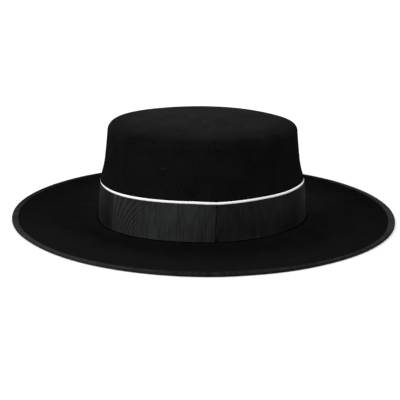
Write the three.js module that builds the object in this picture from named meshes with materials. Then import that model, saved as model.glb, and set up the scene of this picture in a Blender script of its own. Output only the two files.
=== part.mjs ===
// A felt gaucho hat: a flat round brim, a low crown with a flat top, a grosgrain hatband
// with a white piping along its upper edge, and a grosgrain binding folded over the edge
// of the brim. Millimetres, +Z up. The hat rests on the underside of the binding, at
// z = 0, and the middle of the brim is at x = 0, y = 0. X runs along the head's length.

import * as THREE from 'three';

// Felt: the brim's outline is measured outside its binding, the crown's at its foot.
const brimLength = 373;
const brimWidth = 349;
const brimDip = 1;
const crownLength = 201.6;
const crownWidth = 172.4;
const crownHeight = 93.8;
const crownLean = 9.1;
const crownTilt = 0.4;
const crownShift = -3.4;
const crownDome = 1.6;
const rimRadius = 7;
const footRadius = 0.8;
const feltWall = 1.8;

// The head's oval is no true ellipse: it is drawn out a little at its +X end and blunt at
// its -X end, and its quarters are a little fuller.
const crownPoint = 0.9;
const crownFullness = 0.8;

// Hatband, a ribbon whose two ends meet at one side of the head.
const bandHeight = 35;
const bandWall = 1;
const seamGap = 0.9;
const seamShift = 8.1;

// Piping, a narrow white fold that stands on the upper edge of the band.
const pipingHeight = 2.4;
const pipingDepth = 1.3;

// Binding, a ribbon folded over the edge of the brim.
const bindingWidth = 6.4;
const bindingWall = 1;
const bindingFold = 1.2;

// Room left between any two pieces that lie against each other.
const clearance = 0.3;

// Steps round the hat, and along its small round corners and sections.
const stepsRound = 76;
const stepsRim = 5;
const stepsFoot = 2;
const stepsTop = 2;
const stepsFold = 2;
const stepsPiping = 8;

// Heights that follow from these sizes.
const brimUnderside = bindingWall + clearance;
const brimTop = brimUnderside + feltWall;
const bindingTop = brimTop + clearance + bindingWall;
const crownFoot = brimTop - brimDip;
const rimTop = crownFoot + crownHeight - crownDome;
const wallTop = rimTop - rimRadius;
const bandBottom = crownFoot + footRadius;
const bandTop = bandBottom + bandHeight;

// The crown's outside wall from its foot to where the rim starts to turn in: how high,
// as a share of that wall, and how far the wall has come in, as a share of crownLean.
const crownWall = [
  { rise: 0.0, lean: 0.0 },
  { rise: 0.22, lean: 0.11 },
  { rise: 0.42, lean: 0.28 },
  { rise: 0.5, lean: 0.39 },
  { rise: 0.64, lean: 0.65 },
  { rise: 0.77, lean: 0.8 },
  { rise: 0.88, lean: 0.9 },
  { rise: 1.0, lean: 1.0 },
];

const quarterTurn = Math.PI / 2;
const fullTurn = Math.PI * 2;

function mix(from, to, share) {
  return from + (to - from) * share;
}

// Angles once round the hat, the same for all pieces, so that their facets lie parallel.
function anglesRound() {
  return Array.from({ length: stepsRound }, (_, step) => (step / stepsRound) * fullTurn);
}

// An oval parallel to the foot of the crown, inset from it. The crown tilts a little to -X.
function crownOval(inset, z) {
  const halfLength = crownLength / 2 - inset;
  const halfWidth = crownWidth / 2 - inset;
  const tilted = Math.min(Math.max(inset / crownLean, 0), 1);
  return { halfLength, halfWidth, middle: crownShift - crownTilt * tilted, swell: 1, z };
}

// An oval parallel to the outline of the brim, inset from it.
function brimOval(inset, z) {
  return { halfLength: brimLength / 2 - inset, halfWidth: brimWidth / 2 - inset, middle: 0, swell: 0, z };
}

// The same oval drawn in towards its own middle.
function shrunkOval(oval, share, z) {
  const { halfLength, halfWidth, middle, swell } = oval;
  return { halfLength: halfLength * share, halfWidth: halfWidth * share, middle, swell: swell * share, z };
}

function ovalPoint(oval, angle) {
  const swell = oval.swell * (crownPoint * Math.cos(3 * angle) + crownFullness * Math.cos(5 * angle));
  const x = oval.middle + (oval.halfLength + swell) * Math.cos(angle);
  const y = (oval.halfWidth + swell) * Math.sin(angle);
  return new THREE.Vector3(x, y, oval.z);
}

// Points of a round corner in a section: inset grows towards the head, z grows upwards.
function cornerPoints(corner, radius, from, to, steps) {
  return Array.from({ length: steps + 1 }, (_, step) => {
    const angle = mix(from, to, step / steps);
    return { inset: corner.inset - radius * Math.cos(angle), z: corner.z + radius * Math.sin(angle) };
  });
}

// How far the outside of the crown has come in at a height.
function crownInset(z) {
  const share = (z - crownFoot) / (wallTop - crownFoot);
  const above = Math.max(1, crownWall.findIndex((row) => row.rise >= share));
  const low = crownWall[above - 1];
  const high = crownWall[above];
  const between = (share - low.rise) / (high.rise - low.rise);
  return crownLean * mix(low.lean, high.lean, between);
}

// The outside of the felt in section, from the rim of the crown down to the brim.
function crownOutside() {
  const rimCorner = { inset: crownLean + rimRadius, z: wallTop };
  const rim = cornerPoints(rimCorner, rimRadius, quarterTurn, 0, stepsRim);
  const rows = crownWall.slice(1, -1).reverse();
  const wall = rows.map((row) => ({ inset: crownLean * row.lean, z: mix(crownFoot, wallTop, row.rise) }));
  const footCorner = { inset: crownInset(bandBottom) - footRadius, z: bandBottom };
  const foot = cornerPoints(footCorner, -footRadius, 0, quarterTurn, stepsFoot);
  return [...rim, ...wall, ...foot];
}

// A section line moved to its right by a distance, mitred at its bends.
function offsetLine(points, distance) {
  const normals = points.slice(1).map((point, index) => {
    const along = new THREE.Vector2(points[index].inset - point.inset, point.z - points[index].z);
    return along.normalize();
  });
  return points.map((point, index) => {
    const before = normals[Math.max(index - 1, 0)];
    const after = normals[Math.min(index, normals.length - 1)];
    const mitre = before.clone().add(after).divideScalar(1 + before.dot(after));
    return { inset: point.inset - distance * mitre.y, z: point.z - distance * mitre.x };
  });
}

// Triangles between neighbouring rings of points, all rings having as many points.
function skinTriangles(rings, closedRound, closedAlong) {
  const triangles = [];
  const columns = rings[0].length;
  const lastColumn = closedRound ? columns : columns - 1;
  const lastRing = closedAlong ? rings.length : rings.length - 1;
  for (let ring = 0; ring < lastRing; ring += 1) {
    for (let column = 0; column < lastColumn; column += 1) {
      const here = rings[ring];
      const next = rings[(ring + 1) % rings.length];
      const side = (column + 1) % columns;
      triangles.push([here[column], next[column], next[side]], [here[column], next[side], here[side]]);
    }
  }
  return triangles;
}

function fanTriangles(point, ring, outward) {
  return ring.map((corner, index) => {
    const next = ring[(index + 1) % ring.length];
    return outward ? [point, corner, next] : [point, next, corner];
  });
}

function meshOf(name, triangles, material) {
  const geometry = new THREE.BufferGeometry().setFromPoints(triangles.flat());
  geometry.computeVertexNormals();
  const mesh = new THREE.Mesh(geometry, material);
  mesh.name = name;
  return mesh;
}

// Crown and brim are one felt: a wall that runs over the crown, out along the brim, round
// its edge, back underneath and up inside, so the hollow for the head is open below.
function feltBody() {
  const outside = crownOutside();
  const inside = offsetLine(outside, feltWall).reverse();
  const edgeInset = bindingWall + clearance;
  const edgeChamfer = feltWall / 4;
  const edge = [
    brimOval(edgeInset + edgeChamfer, brimTop),
    brimOval(edgeInset, brimTop - edgeChamfer),
    brimOval(edgeInset, brimUnderside + edgeChamfer),
    brimOval(edgeInset + edgeChamfer, brimUnderside),
  ];
  const topOvals = (rim, topZ) => Array.from({ length: stepsTop }, (_, step) => {
    const share = (step + 1) / (stepsTop + 1);
    return shrunkOval(rim, share, topZ - (topZ - rim.z) * share ** 2);
  });
  const outerOvals = outside.map((point) => crownOval(point.inset, point.z));
  const innerOvals = inside.map((point) => crownOval(point.inset, point.z));
  const outerTopZ = rimTop + crownDome;
  const innerTopZ = outerTopZ - feltWall;
  const outerTop = topOvals(outerOvals[0], outerTopZ);
  const innerTop = topOvals(innerOvals.at(-1), innerTopZ).reverse();
  const ovals = [...outerTop, ...outerOvals, ...edge, ...innerOvals, ...innerTop];
  const rings = ovals.map((oval) => anglesRound().map((angle) => ovalPoint(oval, angle)));
  const triangles = [
    ...fanTriangles(new THREE.Vector3(outerTop[0].middle, 0, outerTopZ), rings[0], true),
    ...skinTriangles(rings, true, false),
    ...fanTriangles(new THREE.Vector3(innerTop.at(-1).middle, 0, innerTopZ), rings.at(-1), false),
  ];
  const felt = new THREE.MeshStandardMaterial({ color: 0x17181a, roughness: 0.95, metalness: 0 });
  return meshOf('felt_body', triangles, felt);
}

// The band lies along the crown's wall, and its two ends leave a narrow slit at the -Y side.
function hatband() {
  const bends = crownWall.map((row) => mix(crownFoot, wallTop, row.rise));
  const behind = bends.filter((z) => z > bandBottom && z < bandTop);
  const heights = [bandTop, ...behind.reverse(), bandBottom];
  const line = (out) => heights.map((z) => crownOval(crownInset(z) - out, z));
  const outline = [...line(clearance + bandWall), ...line(clearance).reverse()];
  const seamAngle = -quarterTurn + seamShift / (crownLength / 2);
  const halfGap = seamGap / crownLength;
  const start = seamAngle + halfGap;
  const end = seamAngle + fullTurn - halfGap;
  const turned = anglesRound().map((angle) => (angle < end ? angle : angle - fullTurn));
  const between = turned.filter((angle) => angle > start).sort((a, b) => a - b);
  const angles = [start, ...between, end];
  const rings = outline.map((oval) => angles.map((angle) => ovalPoint(oval, angle)));
  const cap = (column, flip) => heights.slice(1).flatMap((_, row) => {
    const opposite = rings.length - 1 - row;
    const corners = [row, row + 1, opposite - 1, opposite].map((ring) => rings[ring].at(column));
    const [a, b, c, d] = flip ? corners.reverse() : corners;
    return [[a, b, c], [a, c, d]];
  });
  const triangles = [...skinTriangles(rings, false, true), ...cap(0, true), ...cap(-1, false)];
  const ribbon = new THREE.MeshStandardMaterial({ color: 0x24262a, roughness: 0.7, metalness: 0 });
  return meshOf('hatband', triangles, ribbon);
}

// The piping is a flat oval in section, and it stands just above the band.
function piping() {
  const middleZ = bandTop + clearance + pipingHeight / 2;
  const middleInset = crownInset(bandTop + clearance) - clearance - pipingDepth / 2;
  const ovals = Array.from({ length: stepsPiping }, (_, step) => {
    const turn = (step / stepsPiping) * fullTurn;
    const inset = middleInset + (pipingDepth / 2) * Math.cos(turn);
    return crownOval(inset, middleZ + (pipingHeight / 2) * Math.sin(turn));
  });
  const rings = ovals.map((oval) => anglesRound().map((angle) => ovalPoint(oval, angle)));
  const white = new THREE.MeshStandardMaterial({ color: 0xf4f3ef, roughness: 0.8, metalness: 0 });
  return meshOf('piping', skinTriangles(rings, true, true), white);
}

// The binding is a channel round the brim's edge, with one lip above and one below.
function brimBinding() {
  const upperFold = { inset: bindingFold, z: bindingTop - bindingFold };
  const lowerFold = { inset: bindingFold, z: bindingFold };
  const outside = [
    { inset: bindingWidth, z: bindingTop },
    ...cornerPoints(upperFold, bindingFold, quarterTurn, 0, stepsFold),
    ...cornerPoints(lowerFold, bindingFold, 0, -quarterTurn, stepsFold),
    { inset: bindingWidth, z: 0 },
  ];
  const inside = [
    { inset: bindingWidth, z: bindingWall },
    { inset: bindingWall, z: bindingWall },
    { inset: bindingWall, z: bindingTop - bindingWall },
    { inset: bindingWidth, z: bindingTop - bindingWall },
  ];
  const ovals = [...outside, ...inside].map((point) => brimOval(point.inset, point.z));
  const rings = ovals.map((oval) => anglesRound().map((angle) => ovalPoint(oval, angle)));
  const ribbon = new THREE.MeshStandardMaterial({ color: 0x2a2c30, roughness: 0.75, metalness: 0 });
  return meshOf('brim_binding', skinTriangles(rings, true, true), ribbon);
}

const hat = new THREE.Group();
hat.add(feltBody(), hatband(), piping(), brimBinding());

export default hat;
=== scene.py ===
# %% [markdown]
# # A black felt gaucho hat
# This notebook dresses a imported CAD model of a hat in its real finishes: brushed wool felt, a
# ribbed grosgrain hatband under a white piping, and a grosgrain binding sewn over the brim's
# edge. The CAD solids have the right sizes but a plain surface, so each of them is replaced by
# a finer mesh that lies in the same place.

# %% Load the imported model
from collections import namedtuple

import bmesh
import bpy
import numpy as np
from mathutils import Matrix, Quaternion, Vector, noise


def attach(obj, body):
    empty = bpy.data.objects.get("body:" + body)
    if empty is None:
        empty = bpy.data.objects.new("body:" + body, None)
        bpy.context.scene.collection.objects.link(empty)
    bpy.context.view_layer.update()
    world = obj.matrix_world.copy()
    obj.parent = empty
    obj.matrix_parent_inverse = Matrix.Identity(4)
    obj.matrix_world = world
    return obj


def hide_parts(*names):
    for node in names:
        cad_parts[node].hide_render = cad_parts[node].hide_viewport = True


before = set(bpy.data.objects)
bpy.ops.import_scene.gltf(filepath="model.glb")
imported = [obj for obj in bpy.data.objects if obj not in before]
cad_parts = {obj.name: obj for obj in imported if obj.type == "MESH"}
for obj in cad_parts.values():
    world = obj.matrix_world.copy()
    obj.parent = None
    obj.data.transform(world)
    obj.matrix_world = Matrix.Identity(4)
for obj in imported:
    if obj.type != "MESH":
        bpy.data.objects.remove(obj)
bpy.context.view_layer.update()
MM = 0.001
print("nodes of the packed model:", sorted(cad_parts))

# %% [markdown]
# ## The camera
# The photo was taken from a little above the brim and almost straight in front of the place
# where the ends of the hatband meet. A long lens far away keeps the ovals of the brim and of
# the crown nearly free of perspective. The camera stands at a distance and an angle that were
# found by fitting the hat's known outlines, and it is turned about its own axis by less than a
# degree, because the hat hangs a little to the right in the picture.

# %% Camera
PHOTO_PIXELS = 400
SENSOR = 36.0
FOCAL_PIXELS = 1470.35
CAMERA_DISTANCE = 1440.9 * MM
CAMERA_ELEVATION = np.radians(17.427)
CAMERA_YAW = np.radians(4.754)
CAMERA_ROLL = np.radians(0.7766)
LOOKED_AT = Vector((0, 0, 2.2 * MM))
LOOKED_AT_PIXEL = (203.74, 214.30)


def turn_to(direction):
    """The turn that makes a camera or a light look along a direction, its top up."""
    return direction.to_track_quat("-Z", "Y")


def place_camera():
    level = np.cos(CAMERA_ELEVATION)
    away = Vector((-np.sin(CAMERA_YAW) * level, -np.cos(CAMERA_YAW) * level, np.sin(CAMERA_ELEVATION)))
    data = bpy.data.cameras.new("photo_camera")
    data.sensor_width = SENSOR
    data.lens = FOCAL_PIXELS / PHOTO_PIXELS * SENSOR
    camera = bpy.data.objects.new("photo_camera", data)
    bpy.context.scene.collection.objects.link(camera)
    camera.location = LOOKED_AT + away * CAMERA_DISTANCE
    right_of_centre = (LOOKED_AT_PIXEL[0] - PHOTO_PIXELS / 2) / FOCAL_PIXELS
    below_centre = (LOOKED_AT_PIXEL[1] - PHOTO_PIXELS / 2) / FOCAL_PIXELS
    aim = Quaternion((0, 1, 0), right_of_centre) @ Quaternion((1, 0, 0), below_centre)
    camera.rotation_mode = "QUATERNION"
    camera.rotation_quaternion = turn_to(-away) @ Quaternion((0, 0, 1), CAMERA_ROLL) @ aim
    bpy.context.scene.camera = camera
    return camera


camera = place_camera()
print("lens in mm:", round(camera.data.lens, 2), " camera at:", [round(v, 3) for v in camera.location])

# %% [markdown]
# ## The sizes of the hat
# These are the sizes of the CAD model, in millimetres. Both the crown and the brim are ovals.
# The crown's oval follows a head: a little drawn out at one end and a little fuller in its
# quarters than an ellipse, which is what the swell terms add. Everything else is told by how
# far it lies inside such an oval, its inset, and by its height.

# %% Sizes
Oval = namedtuple("Oval", "half_length half_width middle swell z")

BRIM_LENGTH = 373
BRIM_WIDTH = 349
CROWN_LENGTH = 201.6
CROWN_WIDTH = 172.4
CROWN_SHIFT = -3.4
CROWN_POINT = 0.9
CROWN_FULLNESS = 0.8
CROWN_LEAN = 9.1
CROWN_TILT = 0.4
CROWN_DOME = 1.6
CROWN_FOOT = 2.1
WALL_TOP = 87.3
RIM_RADIUS = 7
FELT_WALL = 1.8
BRIM_TOP = 2.45
BRIM_UNDERSIDE = 0.65
BRIM_EDGE = 1.1
BAND_BOTTOM = 2.4
BAND_MIDDLE = 20
BAND_TOP = 37.9
BAND_OUT = 1.3

# The crown's wall: how high, as a share of its height, and how far in, as a share of its lean.
CROWN_WALL = [
    {"rise": 0.0, "lean": 0.0},
    {"rise": 0.22, "lean": 0.11},
    {"rise": 0.42, "lean": 0.28},
    {"rise": 0.5, "lean": 0.39},
    {"rise": 0.64, "lean": 0.65},
    {"rise": 0.77, "lean": 0.8},
    {"rise": 0.88, "lean": 0.9},
    {"rise": 1.0, "lean": 1.0},
]
WALL_SAMPLES = 400
WALL_BLEND = 5.0

wall_heights = np.linspace(CROWN_FOOT, WALL_TOP, WALL_SAMPLES)


def smooth_wall():
    """The inset of the wall at many heights, with the table's bends rounded off."""
    share = (wall_heights - CROWN_FOOT) / (WALL_TOP - CROWN_FOOT)
    rises = [row["rise"] for row in CROWN_WALL]
    leans = [row["lean"] for row in CROWN_WALL]
    inset = CROWN_LEAN * np.interp(share, rises, leans)
    reach = int(WALL_BLEND / (wall_heights[1] - wall_heights[0]))
    weights = np.hanning(2 * reach + 3)[1:-1]
    start = 2 * inset[0] - inset[reach:0:-1]
    end = 2 * inset[-1] - inset[-2:-reach - 2:-1]
    return np.convolve(np.concatenate([start, inset, end]), weights / weights.sum(), "valid")


wall_insets = smooth_wall()


def wall_inset(z):
    return np.interp(z, wall_heights, wall_insets)


def crown_swell(angles):
    return CROWN_POINT * np.cos(3 * angles) + CROWN_FULLNESS * np.cos(5 * angles)


def crown_oval(inset, z):
    middle = CROWN_SHIFT - CROWN_TILT * np.clip(inset / CROWN_LEAN, 0, 1)
    return Oval(CROWN_LENGTH / 2 - inset, CROWN_WIDTH / 2 - inset, middle, crown_swell, z)


# What the hand did round the hat, in millimetres, by the angle in degrees from the +X end (the
# seam side is at -90): how far the cut of the brim strays from its oval, how wide the binding
# lies on top of it, and how far the upper edge of the hatband is lifted, or let down where the
# number is negative. The last column is a share, not a length: how tightly the ribbon and its
# piping are drawn in to the crown there.
BY_HAND = [
    {"angle": -180, "cut": 0.0, "binding": 6.2, "lift": -2.0, "tuck": 0.42},
    {"angle": -166, "cut": -0.6, "binding": 5.4, "lift": -0.5, "tuck": 0.33},
    {"angle": -152, "cut": -1.4, "binding": 4.3, "lift": -0.25, "tuck": 0.15},
    {"angle": -143, "cut": -0.9, "binding": 3.9, "lift": -0.15, "tuck": 0.1},
    {"angle": -132, "cut": -0.1, "binding": 4.8, "lift": 0.15, "tuck": 0.0},
    {"angle": -118, "cut": 0.5, "binding": 5.3, "lift": 0.45, "tuck": 0.0},
    {"angle": -106, "cut": 1.0, "binding": 6.0, "lift": 0.66, "tuck": 0.0},
    {"angle": -97, "cut": 1.4, "binding": 7.0, "lift": 0.75, "tuck": 0.0},
    {"angle": -90, "cut": 1.4, "binding": 7.0, "lift": 0.15, "tuck": 0.0},
    {"angle": -83, "cut": 0.4, "binding": 6.8, "lift": 0.0, "tuck": 0.0},
    {"angle": -76, "cut": 0.1, "binding": 6.4, "lift": 0.2, "tuck": 0.0},
    {"angle": -67, "cut": -0.2, "binding": 5.3, "lift": 0.55, "tuck": 0.0},
    {"angle": -58, "cut": -1.0, "binding": 3.9, "lift": 0.66, "tuck": 0.0},
    {"angle": -47, "cut": -0.9, "binding": 3.4, "lift": 0.2, "tuck": 0.0},
    {"angle": -36, "cut": -0.6, "binding": 4.0, "lift": -0.1, "tuck": 0.0},
    {"angle": -26, "cut": -0.2, "binding": 5.2, "lift": 0.1, "tuck": 0.05},
    {"angle": -10, "cut": 0.1, "binding": 6.7, "lift": 0.0, "tuck": 0.2},
    {"angle": 10, "cut": 0.8, "binding": 6.4, "lift": 0.0, "tuck": 0.25},
    {"angle": 25, "cut": 1.6, "binding": 6.4, "lift": 0.0, "tuck": 0.2},
    {"angle": 42, "cut": 2.8, "binding": 6.8, "lift": 0.1, "tuck": 0.05},
    {"angle": 90, "cut": 3.0, "binding": 6.5, "lift": 0.2, "tuck": 0.0},
    {"angle": 130, "cut": 2.4, "binding": 6.8, "lift": 0.1, "tuck": 0.05},
    {"angle": 150, "cut": 1.5, "binding": 6.8, "lift": 0.0, "tuck": 0.2},
    {"angle": 165, "cut": 1.0, "binding": 6.3, "lift": -0.6, "tuck": 0.3},
]
HAND_SAMPLES = 720
HAND_BLEND = 9


def by_hand(angles, column):
    """One column of the table at any angles, in radians, with its bends rounded off."""
    degrees = np.arange(-HAND_SAMPLES, HAND_SAMPLES) * 360 / HAND_SAMPLES
    told = [row["angle"] for row in BY_HAND], [row[column] for row in BY_HAND]
    weights = np.hanning(2 * HAND_BLEND + 1)
    smooth = np.convolve(np.interp(degrees, *told, period=360), weights / weights.sum(), "same")
    middle = slice(HAND_SAMPLES // 2, HAND_SAMPLES // 2 + HAND_SAMPLES)
    return np.interp(np.degrees(angles), degrees[middle], smooth[middle], period=360)


def brim_cut(angles):
    return by_hand(angles, "cut")


def brim_oval(inset, z):
    return Oval(BRIM_LENGTH / 2 - inset, BRIM_WIDTH / 2 - inset, 0, brim_cut, z)


def oval_points(oval, angles):
    """Points of an oval, in metres. The insets and heights may be arrays as long as the angles."""
    swell = oval.swell(angles)
    x = oval.middle + (oval.half_length + swell) * np.cos(angles)
    y = (oval.half_width + swell) * np.sin(angles)
    return np.stack([x, y, oval.z + 0 * angles], axis=-1) * MM


def length_round(oval, start, steps=5000, spare=0.2):
    """Walks once round an oval: its length in mm, and a function from the way walked to the angle."""
    angles = np.linspace(start - spare, start + 2 * np.pi + spare, steps)
    points = oval_points(oval, angles) / MM
    walked = np.concatenate([[0], np.cumsum(np.linalg.norm(np.diff(points, axis=0), axis=1))])
    first, last = np.interp([start, start + 2 * np.pi], angles, walked)
    return last - first, lambda way: np.interp(way + first, walked, angles)


print("wall inset at the top of the band:", round(float(wall_inset(BAND_TOP)), 2), "mm")

# %% [markdown]
# ## From grids of points to a mesh
# Felt, ribbon and piping are all skins between rings of points, so one function makes them
# all: the grid's rows run along the section and its columns run round the hat. A grid can be
# closed round the hat, along the section, or both.

# %% Meshes from grids
def mesh_piece(name, points, faces):
    mesh = bpy.data.meshes.new(name)
    mesh.from_pydata(points.tolist(), [], faces)
    skin = bmesh.new()
    skin.from_mesh(mesh)
    bmesh.ops.recalc_face_normals(skin, faces=skin.faces)
    skin.to_mesh(mesh)
    skin.free()
    mesh.shade_smooth()
    piece = bpy.data.objects.new(name, mesh)
    bpy.context.scene.collection.objects.link(piece)
    print(name, "has", len(mesh.polygons), "faces")
    return piece


def grid_faces(rows, columns, closed_round=True, closed_along=True):
    """Faces between neighbouring rows of a grid whose points are numbered row by row."""
    row = np.arange(rows if closed_along else rows - 1)[:, None]
    column = np.arange(columns if closed_round else columns - 1)[None, :]
    here, below = row * columns, (row + 1) % rows * columns
    side = (column + 1) % columns
    corners = np.stack([here + column, below + column, below + side, here + side], axis=-1)
    return corners.reshape(-1, 4).tolist()


def unevenness(points, humps):
    """How far a hand-made surface strays at each point, in mm, from a table of smooth noises."""
    total = 0
    for row in humps:
        scaled = (points / (row["size"] * MM) + row["seed"]).reshape(-1, 3)
        heights = np.array([noise.noise(Vector(point)) for point in scaled])
        total = total + row["depth"] * heights.reshape(points.shape[:-1])
    return total


def normals_of(grid):
    """The normal at each point of a grid of rings, from its neighbours."""
    onward = np.roll(grid, -1, axis=1) - np.roll(grid, 1, axis=1)
    along = np.gradient(grid, axis=0)
    normal = np.cross(along, onward)
    return normal / np.maximum(np.linalg.norm(normal, axis=-1, keepdims=True), 1e-12)


print("a ring of 4 by 3 points has", len(grid_faces(4, 3)), "faces")

# %% [markdown]
# ## The felt
# Crown and brim are blocked from one piece of wool felt, steamed and pulled over a form. Its
# top is nearly flat, its rim turns over in a small even curve, and the brim lies flat. A
# lathe would give a round hat, so the skin is drawn through ovals instead. The ribbon is tied
# tight round the crown, so the felt swells by almost a millimetre just above it. Blocking by
# hand leaves the surface very slightly uneven, and two sizes of smooth noise, a fifth of a
# millimetre deep together, put that back. The felt has a real thickness and is open below.

# %% The felt's section
FELT_COLUMNS = 380
TOP_STEPS = 18
RIM_STEPS = 12
WALL_STEPS = 16
SWELL_TOP = 54
SWELL_BOTTOM = 36
SWELL_STEPS = 16
BEHIND_STEPS = 8
FOOT_STEPS = 5
FOOT_RADIUS = 0.3
BRIM_STEPS = 26
EDGE_ROUND = 0.6
TOP_CENTRE_SHARE = 0.012

# The felt swells a little just above the ribbon, which is pulled tight: height, and how far out.
FELT_SWELL = [
    {"z": 36.5, "out": 0.0},
    {"z": 38.5, "out": 0.65},
    {"z": 41.0, "out": 0.9},
    {"z": 44.0, "out": 0.6},
    {"z": 48.0, "out": 0.15},
    {"z": 53.0, "out": 0.0},
]


def swell_at(z):
    return np.interp(z, [row["z"] for row in FELT_SWELL], [row["out"] for row in FELT_SWELL])


def corner(inset, z, radius, from_turn, to_turn, steps):
    """A round corner in section, as rows of inset and height."""
    turn = np.radians(np.linspace(from_turn, to_turn, steps))
    return np.stack([inset - radius * np.cos(turn), z + radius * np.sin(turn)], axis=-1)


def outside_section():
    """The outside of the crown from the top's edge down to the brim."""
    rim = corner(CROWN_LEAN + RIM_RADIUS, WALL_TOP, RIM_RADIUS, 90, 0, RIM_STEPS)
    above_band = np.linspace(WALL_TOP, SWELL_TOP, WALL_STEPS)[1:-1]
    at_swell = np.linspace(SWELL_TOP, SWELL_BOTTOM, SWELL_STEPS)
    behind_band = np.linspace(SWELL_BOTTOM, BAND_BOTTOM, BEHIND_STEPS)[1:-1]
    heights = np.concatenate([above_band, at_swell, behind_band])
    wall = np.stack([wall_inset(heights) - swell_at(heights), heights], axis=-1)
    foot_inset = wall_inset(BAND_BOTTOM) - FOOT_RADIUS
    foot = corner(foot_inset, BAND_BOTTOM, -FOOT_RADIUS, 0, 90, FOOT_STEPS)
    return np.concatenate([rim, wall, foot])


def moved_inward(section, distance):
    """The section line moved to its inner side by the felt's thickness."""
    along = np.gradient(section, axis=0)
    along /= np.linalg.norm(along, axis=1, keepdims=True)
    return section + distance * np.stack([-along[:, 1], along[:, 0]], axis=-1)


print("points down the outside of the crown:", len(outside_section()))

# %% Felt mesh
HAND_UNEVEN = [
    {"size": 46, "depth": 0.16, "seed": 3},
    {"size": 15, "depth": 0.05, "seed": 4},
]

# Near the edge of the brim the felt is pressed even, and behind the band it is nearly so.
EVEN_EDGE = 9
EVEN_EDGE_EASE = 12
EVEN_BAND_REACH = 26
EVEN_BAND_LEFT = 0.3
BRIM_CORNER_POINTS = 4


def felt_rings():
    angles = np.linspace(0, 2 * np.pi, FELT_COLUMNS, endpoint=False)
    outside = outside_section()
    inside = moved_inward(outside, FELT_WALL)[::-1]

    def rings(section):
        return [oval_points(crown_oval(inset, z), angles) for inset, z in section]

    def top(edge, peak):
        """The nearly flat top, from its middle to the ring at its edge."""
        middle = np.array([(CROWN_SHIFT - CROWN_TILT) * MM, 0, 0])
        made = []
        for share in np.linspace(TOP_CENTRE_SHARE, 1, TOP_STEPS, endpoint=False):
            ring = middle + (edge - middle) * share
            ring[:, 2] = peak * MM - (peak * MM - edge[:, 2]) * share ** 2
            made.append(ring)
        return made

    def across(from_ring, to_ring, steps):
        shares = np.linspace(0, 1, steps + 1)[1:-1]
        return [from_ring + (to_ring - from_ring) * share for share in shares]

    outer, inner = rings(outside), rings(inside)
    inset = BRIM_EDGE + EDGE_ROUND
    upper = corner(inset, BRIM_TOP - EDGE_ROUND, EDGE_ROUND, 90, 0, BRIM_CORNER_POINTS)
    lower = corner(inset, BRIM_UNDERSIDE + EDGE_ROUND, EDGE_ROUND, 0, -90, BRIM_CORNER_POINTS)
    edge = [oval_points(brim_oval(inset, z), angles) for inset, z in np.concatenate([upper, lower])]
    peak = WALL_TOP + RIM_RADIUS + CROWN_DOME
    outer_side = top(outer[0], peak) + outer + across(outer[-1], edge[0], BRIM_STEPS)
    inner_side = across(edge[-1], inner[0], BRIM_STEPS) + inner + top(inner[-1], peak - FELT_WALL)[::-1]
    return np.stack(outer_side + edge + inner_side)


def felt_mesh():
    grid = felt_rings()
    uneven = unevenness(grid, HAND_UNEVEN)
    from_middle = np.linalg.norm(grid[..., :2], axis=-1) / MM
    edge_room = np.clip((BRIM_LENGTH / 2 - EVEN_EDGE - from_middle) / EVEN_EDGE_EASE, 0, 1)
    band_room = np.clip(np.abs(grid[..., 2] / MM - BAND_MIDDLE) / EVEN_BAND_REACH, EVEN_BAND_LEFT, 1)
    grid = grid + normals_of(grid) * (uneven * edge_room * band_room)[..., None] * MM
    rows, columns = grid.shape[:2]
    faces = grid_faces(rows, columns, closed_along=False)
    points = grid.reshape(-1, 3)
    first, last = 0, (rows - 1) * columns
    centres = np.stack([grid[0].mean(axis=0), grid[-1].mean(axis=0)])
    outer_centre, inner_centre = len(points), len(points) + 1
    faces += [[outer_centre, first + step, first + (step + 1) % columns] for step in range(columns)]
    faces += [[inner_centre, last + (step + 1) % columns, last + step] for step in range(columns)]
    return mesh_piece("felt_hat", np.concatenate([points, centres]), faces)


felt = felt_mesh()

# %% [markdown]
# ## The hatband
# A grosgrain ribbon has thick cords across it, about one in each millimetre, under a cover of
# fine threads along it. At arm's length the cords are what the eye sees, so they are real
# ridges here: six columns of points for each cord, each cord with its own height. The two
# edges are woven firmer and stand up as thin selvedges. The ribbon is drawn in to the crown at
# the two ends of the hat. Its own ends are folded under and meet in a slit that isn't quite
# straight, gapes a little in its middle, opens into a notch above and below, and has its left
# end standing a little proud of its right end.

# %% Cords and slit
CORD_PITCH = 1.05
CORD_RELIEF = 0.2
CORD_COLUMNS = 6
CORD_VARIATION = 0.35
CORD_PAIRING = 0.6
CORD_PLUMPNESS = 0.8
PAIRING_REACH = 9
SEAM_SHIFT = 8.1
SEAM_ANGLE = -np.pi / 2 + SEAM_SHIFT / (CROWN_LENGTH / 2)
SEAM_SHARE = (SEAM_ANGLE + np.pi / 2) / (2 * np.pi)

# The slit between the ends of the ribbon: how far its middle lies to the right, and its width.
SLIT = [
    {"z": 2.3, "right": 0.1, "gap": 2.6},
    {"z": 4.4, "right": 0.0, "gap": 1.0},
    {"z": 6.0, "right": -0.3, "gap": 0.12},
    {"z": 15.5, "right": -0.6, "gap": 0.12},
    {"z": 17.5, "right": -0.4, "gap": 0.6},
    {"z": 22.0, "right": 0.0, "gap": 0.8},
    {"z": 27.0, "right": 0.4, "gap": 0.7},
    {"z": 28.8, "right": 0.5, "gap": 0.12},
    {"z": 35.6, "right": 0.8, "gap": 0.12},
    {"z": 36.4, "right": 0.9, "gap": 2.2},
    {"z": 37.9, "right": 0.9, "gap": 2.6},
]

draw = np.random.default_rng(11)


def slit_at(z, column):
    return np.interp(z, [row["z"] for row in SLIT], [row[column] for row in SLIT])


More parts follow.
